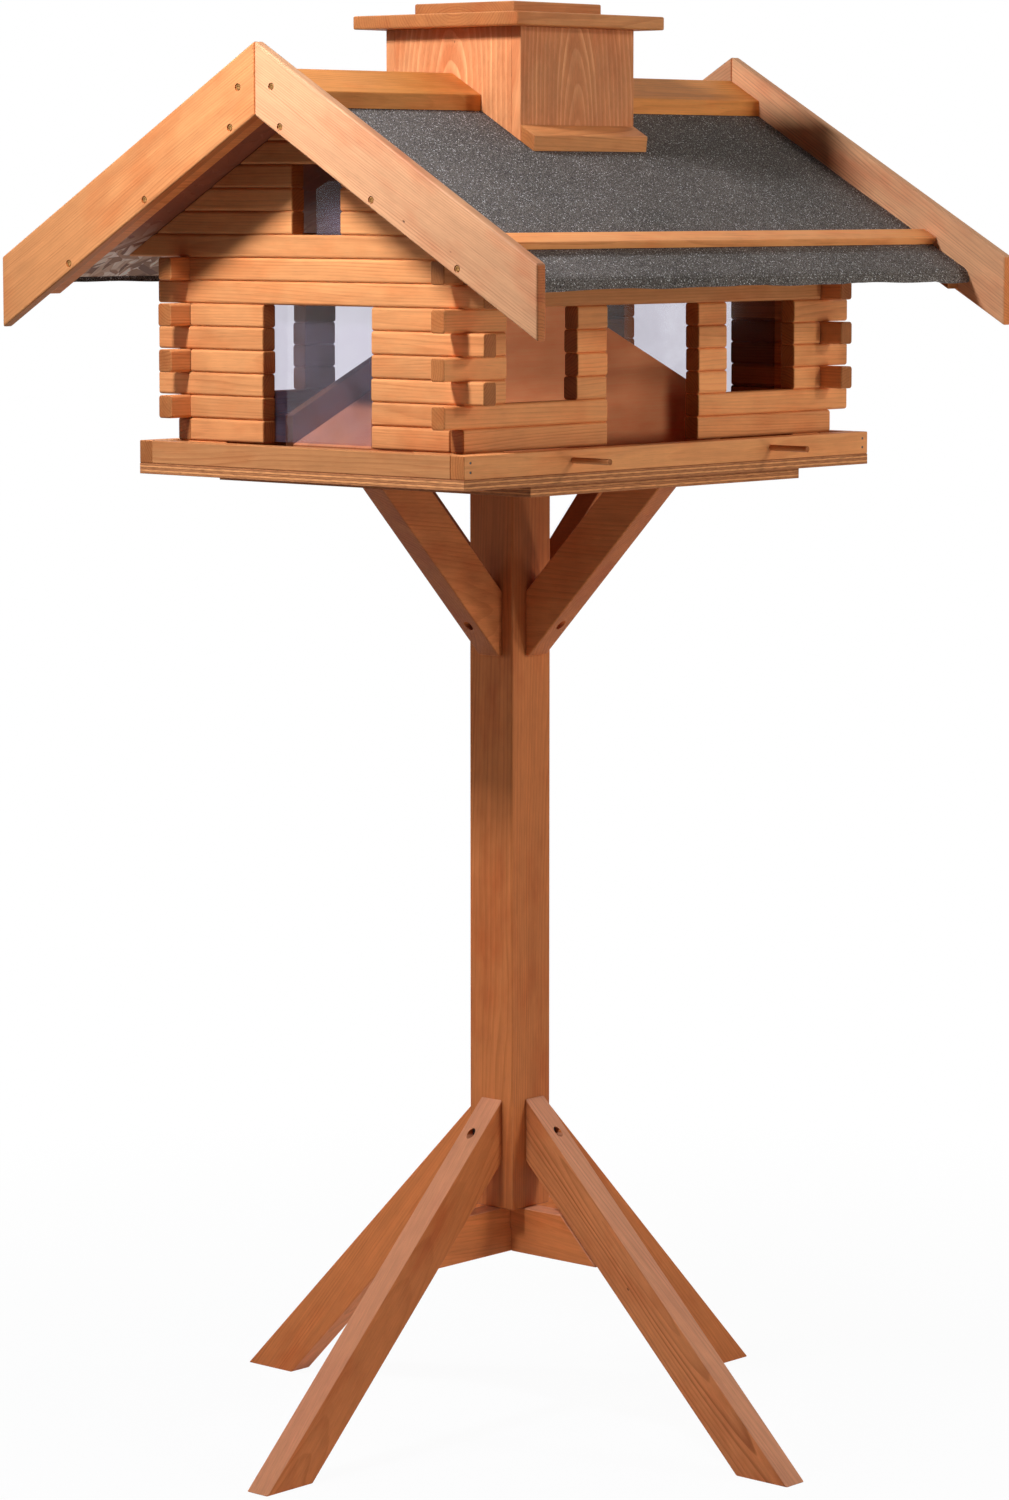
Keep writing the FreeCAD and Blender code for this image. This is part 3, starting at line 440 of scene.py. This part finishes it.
def working_mesh(points, faces):
    """A solid as a mesh to work on, each flat face in one piece."""
    bm = bmesh.new()
    corners = [bm.verts.new(p) for p in points]
    for f in faces:
        try:
            bm.faces.new([corners[i] for i in f])
        except ValueError:
            pass  # the face is there already
    bmesh.ops.recalc_face_normals(bm, faces=bm.faces)
    bmesh.ops.dissolve_limit(bm, angle_limit=FLAT, verts=bm.verts, edges=bm.edges)
    return bm


def grain_of(bm, shortest=0.004, parallel=0.998):
    """Direction in which a solid's straight edges add up to the most length."""
    heads = []
    for e in bm.edges:
        d = e.verts[1].co - e.verts[0].co
        if d.length < shortest:
            continue
        for h in heads:
            if abs(h[0].dot(d.normalized())) > parallel:
                h[1] += d.length
                break
        else:
            heads.append([d.normalized(), d.length])
    return max(heads, key=lambda h: h[1])[0]


def axes_of(bm, grain):
    """The board's own axes: along the grain, sideways and up."""
    axis = Vector(grain) if grain else grain_of(bm)
    if axis.x + axis.y + axis.z < 0:
        axis = -axis
    side = axis.cross(Vector(UP))
    if side.length < 0.2:
        side = axis.cross(Vector(ALONG_Y))
    side.normalize()
    return axis, side, side.cross(axis)


def ease_edges(bm, ease, short):
    """Rounds the sharp outer edges longer than short, and marks the narrow faces that this makes."""
    sharp = [e for e in bm.edges if e.is_manifold and e.calc_face_angle(0) > SHARP
             and e.is_convex and e.calc_length() > short]
    eased = bmesh.ops.bevel(bm, geom=sharp, offset=ease, offset_type="OFFSET", segments=3, profile=0.55,
                            affect="EDGES", clamp_overlap=False)
    fresh = set(eased["faces"])
    mark = bm.faces.layers.int.new("eased")
    for f in bm.faces:
        f[mark] = 1 if f in fresh and f.calc_area() < EASED_AREA else 0
    bmesh.ops.triangulate(bm, faces=[f for f in bm.faces if len(f.verts) > 4])
    bm.normal_update()
    return mark


def cut_from_log(side, lean, pith, face, steep):
    """Where in a log a board was cut: shift and tilt of its grain coordinates, and its own tone."""
    turn = RING.uniform(0, 2 * math.pi)
    away = RING.uniform(*pith)
    along = RING.uniform(-ALONG_RANGE, ALONG_RANGE)
    tilt = (RING.uniform(-lean, lean), RING.uniform(-lean, lean))
    tone = RING.random()
    if face:
        side_on = abs(Vector(face).dot(side)) > 0.5
        turn = RING.uniform(-0.25, 0.25) + (0.0 if side_on else math.pi / 2)
        tilt = (steep, tilt[1]) if side_on else (tilt[0], steep)
    return (along, away * math.cos(turn), away * math.sin(turn)), tilt, tone


def timber(node, material, ease, grain=None, body="table", short=0.0035, lean=0.03,
           pith=(0.018, 0.075), loose=0.0, lift=0.0, face=None, steep=0.2):
    """Replaces a node by eased boards that carry grain coordinates for the shaders.

    ease rounds the edges, grain overrides the grain's direction, and lean is the largest tilt of the
    grain. pith is the range of distances from the log's pith, and loose the play of each board. lift
    adds to the tone, as a number or as a function of the board's middle. face gives a board the flame
    figure of a flat-sawn one on the side that looks that way, drawn out less the larger steep is.
    """
    verts, faces = [], []
    on_points = {"grain": [], "tone": [], "layer": []}
    on_faces = {"end": [], "edge": []}
    for corners, polys in solids_of(node):
        bm = working_mesh(corners, polys)
        axis, side, up = axes_of(bm, grain)
        if loose:
            slip = side * RING.uniform(-loose, loose) * 0.5 + axis * RING.uniform(-loose, loose)
            bmesh.ops.translate(bm, vec=slip, verts=bm.verts)
        centre = sum((v.co for v in bm.verts), Vector()) / len(bm.verts)
        mark = ease_edges(bm, ease, short)
        shift, tilt, tone = cut_from_log(side, lean, pith, face, steep)
        tone += lift(centre) if callable(lift) else lift
        base = len(verts)
        low = min(v.co.z for v in bm.verts)
        tall = max(max(v.co.z for v in bm.verts) - low, 1e-6)
        bm.verts.index_update()
        for v in bm.verts:
            d = v.co - centre
            u = d.dot(axis)
            verts.append(v.co.copy())
            on_points["grain"].append((u + shift[0], d.dot(side) + shift[1] + tilt[0] * u,
                                       d.dot(up) + shift[2] + tilt[1] * u))
            on_points["tone"].append(tone)
            on_points["layer"].append((v.co.z - low) / tall)
        for f in bm.faces:
            faces.append([base + v.index for v in f.verts])
            on_faces["edge"].append(float(f[mark]))
            if material is PLY:
                on_faces["end"].append(1.0 if abs(f.normal.z) < 0.5 else 0.0)
            else:
                on_faces["end"].append(min(1.0, max(0.0, (abs(f.normal.dot(axis)) - 0.45) / 0.4)))
        bm.free()
    mesh = bpy.data.meshes.new("timber_" + node)
    mesh.from_pydata(verts, [], faces)
    for domain, columns in (("POINT", on_points), ("FACE", on_faces)):
        for name, values in columns.items():
            if name == "grain":
                flat = [c for v in values for c in v]
                mesh.attributes.new(name, "FLOAT_VECTOR", domain).data.foreach_set("vector", flat)
            else:
                mesh.attributes.new(name, "FLOAT", domain).data.foreach_set("value", values)
    smooth(settle("timber_" + node, mesh, material, node, body), 40)


BEAM_FOOT = 1.143  # height above which the front's logs are the beam under the eave


def front_logs_painted_light(centre):
    """Painted light and shade on the logs of the front: paler where the front lamps fall, darker on the beam
    under the eave, where the eave's shadow falls.
    """
    return -0.8 if centre.z > BEAM_FOOT else 1.1


def ridge_lift(centre):
    """The ridge boards right of the chimney are a little paler than those on its left."""
    return 0.7 if centre.x > 0 else -0.5


# Tones added to single boards, paler or darker than their neighbours. On the front rim and batten, the front
# silo panel and the seed slopes this is painted light where the lamps fall, and on the back silo panel it is
# painted shade.
LIFT = {
    "barge_left_front": -0.5, "barge_right_front": 1.0,
    "rim_front": 1.1, "rim_left": -0.6, "batten_front": 2.2,
    "leg_left": -0.6, "leg_back": 0.3, "brace_left": 0.4, "brace_front": 0.7,
    "silo_panel_front": 2.4, "silo_panel_back": -2.4, "seed_slopes": 0.8,
    "chimney_left": 0.8, "chimney_right": 0.6, "chimney_front": 0.6, "chimney_back": 0.6,
    "lid_plate": 0.1, "lid_crown": 0.1,
}
DOWN_FRONT, DOWN_BACK = (0, 0.866, 0.5), (0, 0.866, -0.5)  # grain of the boards along the two slopes

for node in list(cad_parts):
    lift = LIFT.get(node, 0.0)
    if node in ("barge_screws", "rim_nails"):
        continue
    if "_logs_" in node:
        timber(node, HOUSE, 0.0016, short=0.0, loose=0.0007,
               lift=front_logs_painted_light if node.startswith("front") else 0.0)
    elif node.startswith("barge_"):
        timber(node, BARGE if node == "barge_left_back" else PALE, 0.0022,
               DOWN_FRONT if node.endswith("front") else DOWN_BACK, lift=lift)
    elif node.startswith(("rim_", "batten_")):
        timber(node, HOUSE, 0.0012,
               ALONG_Y if node in ("rim_left", "rim_right") else ALONG_X, lift=lift)
    elif node == "ridge_boards":
        timber(node, RIDGE, 0.0012, lift=ridge_lift)
    elif node in ("rafters", "perches", "chimney_strips"):
        timber(node, HOUSE, 0.0012)
    elif node.startswith("chimney_"):
        timber(node, CHIMNEY, 0.0010, UP, lean=0.04, pith=(0.016, 0.022), lift=lift,
               face=ALONG_X if node in ("chimney_left", "chimney_right") else ALONG_Y)
    elif node in ("lid_plate", "lid_crown"):
        timber(node, HOUSE, 0.0020, ALONG_X, "lid", pith=(0.02, 0.05), lift=lift)
    elif node == "post":
        timber(node, STAND, 0.0024)
    elif node == "leg_front":
        timber(node, BOLD, 0.0015, lean=0.02, pith=(0.020, 0.026), face=ALONG_X, steep=0.07)
    elif node.startswith(("leg_", "brace_", "cross_")):
        timber(node, STAND, 0.0015, lean=0.09, lift=lift)
    elif node.startswith(("silo_", "seed_", "shaft_")):
        timber(node, INNER, 0.0008, lift=lift)
    elif node in ("floor_plate", "mounting_plate"):
        timber(node, PLY, 0.0006, ALONG_X)

# These stay the frame's own solids, in new materials.
for node, material in (("pane_left", PANE), ("pane_right", PANE), ("upper_panes", PANE),
                       ("roof_panel_front", OSB), ("roof_panel_back", OSB), ("stand_screws", STEEL)):
    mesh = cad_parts[node].data
    for number in range(len(mesh.materials)):
        mesh.materials[number] = material

# ---------------------------------------------------------------- roofing felt

FELT_THICK = 0.0025
SLOPE = math.radians(30)
BEND = 0.009  # depth over which the felt turns down at the eave
SKIN = 0.00022  # swell of the felt's top, kept inside the solid's own
WELL_X, WELL_Y = 0.066, 0.052  # half the opening over the shaft
WELL_ROWS, SLOPE_ROWS, BEND_ROWS, COLUMNS = 4, 22, 8, 88

# How far the hem hangs above or below its middle height, from left to right.
FRONT_HEM = [(-0.348, -0.0022), (-0.29, -0.0018), (-0.21, 0.0), (-0.10, 0.0008), (0.06, 0.0002), (0.155, 0.0),
             (0.20, 0.0024), (0.27, 0.0021), (0.315, -0.0026), (0.348, -0.0018)]
BACK_HEM = [(-0.348, -0.0010), (-0.25, 0.0012), (-0.12, -0.0004), (0.02, 0.0014), (0.16, -0.0012),
            (0.25, 0.0016), (0.348, -0.0015)]


def between(table, x):
    """Smooth reading of a short table of (place, value)."""
    for (x0, v0), (x1, v1) in zip(table, table[1:]):
        if x <= x1:
            t = min(1.0, max(0.0, (x - x0) / (x1 - x0)))
            return v0 + (v1 - v0) * t * t * (3 - 2 * t)
    return table[-1][1]


def felt_profile(x, sign, hem, reach, apex, foot):
    """Outer line of the felt at x, from ridge to hem, as (distance from the ridge, height)."""
    fall = math.tan(SLOPE)
    ripple = 0.0003 * math.sin(x * 31 + sign) + 0.0002 * math.sin(x * 67 + 2 * sign)
    flat = [WELL_Y * i / WELL_ROWS for i in range(WELL_ROWS + 1)]
    flat += [WELL_Y + (reach - BEND - WELL_Y) * i / SLOPE_ROWS for i in range(1, SLOPE_ROWS + 1)]
    row = [(d, apex - d * fall + SKIN * math.sin(x * 41 + d * 57) * min(1.0, d * 8) - SKIN) for d in flat]
    corner = reach - 0.0008 + ripple
    start = (flat[-1], apex - flat[-1] * fall)
    nose = (corner, apex - corner * fall)
    stop = (corner, nose[1] - (nose[0] - start[0]) / math.cos(SLOPE))
    for i in range(1, BEND_ROWS + 1):
        t = i / BEND_ROWS
        row.append(tuple((1 - t) ** 2 * a + 2 * t * (1 - t) * b + t * t * c
                         for a, b, c in zip(start, nose, stop)))
    hem_z = foot + between(hem, x) + 0.0024
    if hem_z < stop[1]:
        row.append((corner - 0.0004 + 0.5 * ripple, (hem_z + stop[1]) / 2))
        row.append((corner - 0.0012 + ripple, hem_z))
    else:
        row.append((corner, stop[1] - 0.0002))
        row.append((corner, stop[1] - 0.0004))
    return row


def felt_sheet(node, sign, hem):
    """Roofing felt: flat on the panel, bent round the eave in a soft curve, its hem a little wavy."""
    low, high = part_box(node)
    reach = max(abs(low[1]), abs(high[1]))
    half = max(abs(low[0]), abs(high[0]))
    xs = sorted({-half, half, -WELL_X, WELL_X} | {-half + i * 2 * half / COLUMNS for i in range(COLUMNS + 1)})
    grid = [felt_profile(x, sign, hem, reach, high[2], low[2]) for x in xs]
    count = len(grid[0])
    verts = []
    for push in (0.0, FELT_THICK):
        for x, row in zip(xs, grid):
            for j, (d, z) in enumerate(row):
                before, after = row[max(0, j - 1)], row[min(count - 1, j + 1)]
                run, rise = after[0] - before[0], after[1] - before[1]
                size = math.hypot(run, rise)
                if j == 0 and push:
                    verts.append((x, 0.0, z - push / math.cos(SLOPE)))
                else:
                    verts.append((x, sign * (d + rise / size * push), z - run / size * push))
    outer = []
    for i in range(len(xs) - 1):
        over_well = abs((xs[i] + xs[i + 1]) / 2) < WELL_X
        for j in range(WELL_ROWS if over_well else 0, count - 1):
            a, b = i * count + j, (i + 1) * count + j
            outer.append([a, b, b + 1, a + 1][::-sign])
    layer = len(xs) * count
    faces = outer + [[v + layer for v in reversed(f)] for f in outer]
    rims = {(a, b) for f in outer for a, b in zip(f, f[1:] + f[:1])}
    faces += [[b, a, a + layer, b + layer] for a, b in rims if (b, a) not in rims]
    verts, faces = used_only(verts, faces)
    mesh = bpy.data.meshes.new("sheet_" + node)
    mesh.from_pydata(verts, [], faces)
    smooth(settle("sheet_" + node, mesh, FELT, node, "table"), 50)


felt_sheet("felt_front", -1, FRONT_HEM)
felt_sheet("felt_back", 1, BACK_HEM)

# ---------------------------------------------------------------- screws and nails

RINGS, SPOKES = 9, 40  # steps from the middle of a head to its rim, and round it
POINT_LONG = 0.002  # length of the shank's point
TIP_CLEAR = 0.003  # how far the shank ends short of its bore
LEAST_POINTS = 8  # smaller lumps aren't fasteners


def head_mesh(shank_long, radius, crown, shank, slot_long=0.0, slot_wide=0.0, deep=0.0):
    """Screw or nail in its own axes: crowned head at the origin looking along +Z, shank below."""
    circle = [(math.cos(a), math.sin(a)) for a in (2 * math.pi * s / SPOKES for s in range(SPOKES))]
    verts = [(0.0, 0.0, crown - deep)]
    for k in range(1, RINGS + 1):
        r = radius * k / RINGS
        for c, s in circle:
            x, y, z = r * c, r * s, crown * (1 - (k / RINGS) ** 2)
            long, wide = max(abs(x), abs(y)), min(abs(x), abs(y))
            if deep and long < slot_long and wide < slot_wide * (1.15 - 0.5 * long / slot_long):
                z -= deep * (1 - 0.5 * long / slot_long)
            verts.append((x, y, z))
    profile = [(radius, -0.0004), (shank, -0.0018 if deep else -0.0006), (shank, -shank_long),
               (shank * 0.2, -shank_long - POINT_LONG)]
    for r, z in profile:
        verts += [(r * c, r * s, z) for c, s in circle]
    faces = [[0, 1 + s, 1 + (s + 1) % SPOKES] for s in range(SPOKES)]
    bands = RINGS + len(profile) - 1
    for k in range(bands):
        for s in range(SPOKES):
            a, b = 1 + k * SPOKES + s, 1 + k * SPOKES + (s + 1) % SPOKES
            faces.append([a, a + SPOKES, b + SPOKES, b])
    faces.append([1 + bands * SPOKES + s for s in range(SPOKES)])
    return verts, faces


def lump_boxes(node):
    """Low and high corner of each separate lump of a node's mesh."""
    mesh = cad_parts[node].data
    points, numbers = welded(mesh, 5)
    up = list(range(len(points)))

    def root(i):
        while up[i] != i:
            up[i] = up[up[i]]
            i = up[i]
        return i
    for poly in mesh.polygons:
        for a in poly.vertices:
            up[root(numbers[a])] = root(numbers[poly.vertices[0]])
    lumps = {}
    for number, point in enumerate(points):
        lumps.setdefault(root(number), []).append(point)
    return [(tuple(map(min, zip(*lump))), tuple(map(max, zip(*lump)))) for lump in lumps.values()
            if len(lump) > LEAST_POINTS]


def fasteners(node, material, slot, sink, **head):
    """One piece with a detailed head and shank for each fastener of a node, sunk a little."""
    verts, faces = [], []
    for low, high in lump_boxes(node):
        size = [b - a for a, b in zip(low, high)]
        axis = size.index(max(size))
        place = [(a + b) / 2 for a, b in zip(low, high)]
        outer = 1 if place[axis] > 0 else -1
        place[axis] = (high if outer > 0 else low)[axis] - outer * sink
        one_verts, one_faces = head_mesh(size[axis] - sink - TIP_CLEAR, **head)
        look_out = Vector([outer if i == axis else 0 for i in range(3)])
        turn = look_out.to_track_quat("Z", "Y")
        spin = RING.uniform(0, math.pi)
        c, s = math.cos(spin), math.sin(spin)
        start = len(verts)
        verts += [Vector(place) + turn @ Vector((c * x - s * y, s * x + c * y, z)) for x, y, z in one_verts]
        faces += [[start + i for i in f] for f in one_faces]
    mesh = bpy.data.meshes.new("heads_" + node)
    mesh.from_pydata(verts, [], faces)
    smooth(settle("heads_" + node, mesh, material, node, "table"), 35)


fasteners("barge_screws", BRASS, "brass_screws", sink=0.0006, radius=0.0026, crown=0.0002, shank=0.0014,
          slot_long=0.0019, slot_wide=0.0010, deep=0.0010)
fasteners("rim_nails", STEEL, "steel_screws", sink=0.0003, radius=0.0012, crown=0.0003, shank=0.0008)

# ---------------------------------------------------------------- lamps

HOUSE_MIDDLE = (0.0, 0.0, 1.1)
LEGS_LEFT = (-0.22, 0.0, 0.15)
KEY_BLUE = (1.0, 1.08, 1.24)
EVERY_WAY = 180  # spread in degrees

# name, place, aim, diameter, watts, colour, spread
LAMPS = (
    ("key", (-0.97, 0.03, 1.84), HOUSE_MIDDLE, 0.16, 14.3, KEY_BLUE, EVERY_WAY),
    ("back_left", (-2.2, 2.4, 2.2), HOUSE_MIDDLE, 0.9, 14.5, WHITE, EVERY_WAY),
    ("back_left_low", (-2.2, 2.4, 1.0), HOUSE_MIDDLE, 0.9, 5.0, WHITE, EVERY_WAY),
    ("front_high", (1.2, -2.8, 2.2), HOUSE_MIDDLE, 0.35, 18.0, WHITE, EVERY_WAY),
    ("front_low", (1.1, -3.0, 0.55), HOUSE_MIDDLE, 0.4, 10.0, WHITE, EVERY_WAY),
    ("front", (1.1, -3.0, 1.0), HOUSE_MIDDLE, 0.5, 4.0, WHITE, EVERY_WAY),
    ("front_left", (0.3, -3.2, 1.1), HOUSE_MIDDLE, 0.9, 3.0, WHITE, EVERY_WAY),
    ("front_right", (2.0, -2.6, 2.2), HOUSE_MIDDLE, 0.9, 4.0, WHITE, EVERY_WAY),
    ("front_right_low", (2.0, -2.6, 1.6), HOUSE_MIDDLE, 0.9, 6.0, WHITE, EVERY_WAY),
    ("right", (3.1, -0.6, 2.2), HOUSE_MIDDLE, 0.9, 9.0, WHITE, EVERY_WAY),
    ("legs", (-1.9, 0.5, 1.3), LEGS_LEFT, 0.5, 0.42, WHITE, 34),
)


def look(obj, place, target):
    """Puts a lamp or camera at a place, turned to a target."""
    obj.location = place
    obj.rotation_mode = "QUATERNION"
    obj.rotation_quaternion = (Vector(target) - Vector(place)).to_track_quat("-Z", "Y")


for name, place, target, size, power, colour, spread in LAMPS:
    data = bpy.data.lights.new(name, "AREA")
    data.shape = "DISK"
    data.size = size
    data.energy = power
    data.color = colour
    data.spread = math.radians(spread)
    obj = bpy.data.objects.new(name, data)
    bpy.context.scene.collection.objects.link(obj)
    look(obj, place, target)

# ---------------------------------------------------------------- floor and world

FLOOR_RADIUS = 7
SHADE_NEAR, SHADE_FAR = 0.3, 1.6  # the object's shadow on the floor fades out between these
SHADE_COVER = 0.955  # share of plain white over the floor's shadow near the object
AMBIENT, AMBIENT_LEVEL = (0.60, 0.85, 1.25, 1), 0.030

floor_mesh = bpy.data.meshes.new("floor")
rim = [(FLOOR_RADIUS * math.cos(math.radians(a)), FLOOR_RADIUS * math.sin(math.radians(a)), 0)
       for a in range(0, 360, 5)]
floor_mesh.from_pydata(rim, [], [list(range(len(rim)))])
floor = bpy.data.objects.new("floor", floor_mesh)
bpy.context.scene.collection.objects.link(floor)
g = Graph(bpy.data.materials.new("floor_pale"))
away = g.vmath("LENGTH", g.place())
plain = g.node("BsdfDiffuse", None, Color=(0.86, 0.86, 0.86, 1))
white = g.node("Emission", None, Color=(*WHITE, 1), Strength=1.0)
cover = g.math("MULTIPLY", g.sees_background(), g.range(away, SHADE_NEAR, SHADE_FAR, SHADE_COVER, 1.0))
floor_mesh.materials.append(g.finish(g.blend(cover, plain, white)))

g = Graph(bpy.data.worlds.new("studio"), "OutputWorld")
dim = g.node("Background", None, Color=AMBIENT, Strength=AMBIENT_LEVEL)
lit = g.node("Background", None, Color=(*WHITE, 1), Strength=1.0)
bpy.context.scene.world = g.finish(g.blend(g.sees_background(), dim, lit))

# ---------------------------------------------------------------- camera, fitted to the photograph

YAW, PITCH = math.radians(48.150), math.radians(-6.781)
SPOT = Vector((-3.50067, -3.12802, 1.251805))

camera_data = bpy.data.cameras.new("camera")
camera_data.sensor_width = 36.0
camera_data.lens = 112.315
camera_data.clip_start = 0.05
camera_data.clip_end = 60.0
camera = bpy.data.objects.new("camera", camera_data)
bpy.context.scene.collection.objects.link(camera)
ahead = Vector((math.sin(YAW) * math.cos(PITCH), math.cos(YAW) * math.cos(PITCH), math.sin(PITCH)))
look(camera, SPOT, SPOT + ahead)
bpy.context.scene.camera = camera
bpy.context.scene.view_settings.view_transform = "Standard"
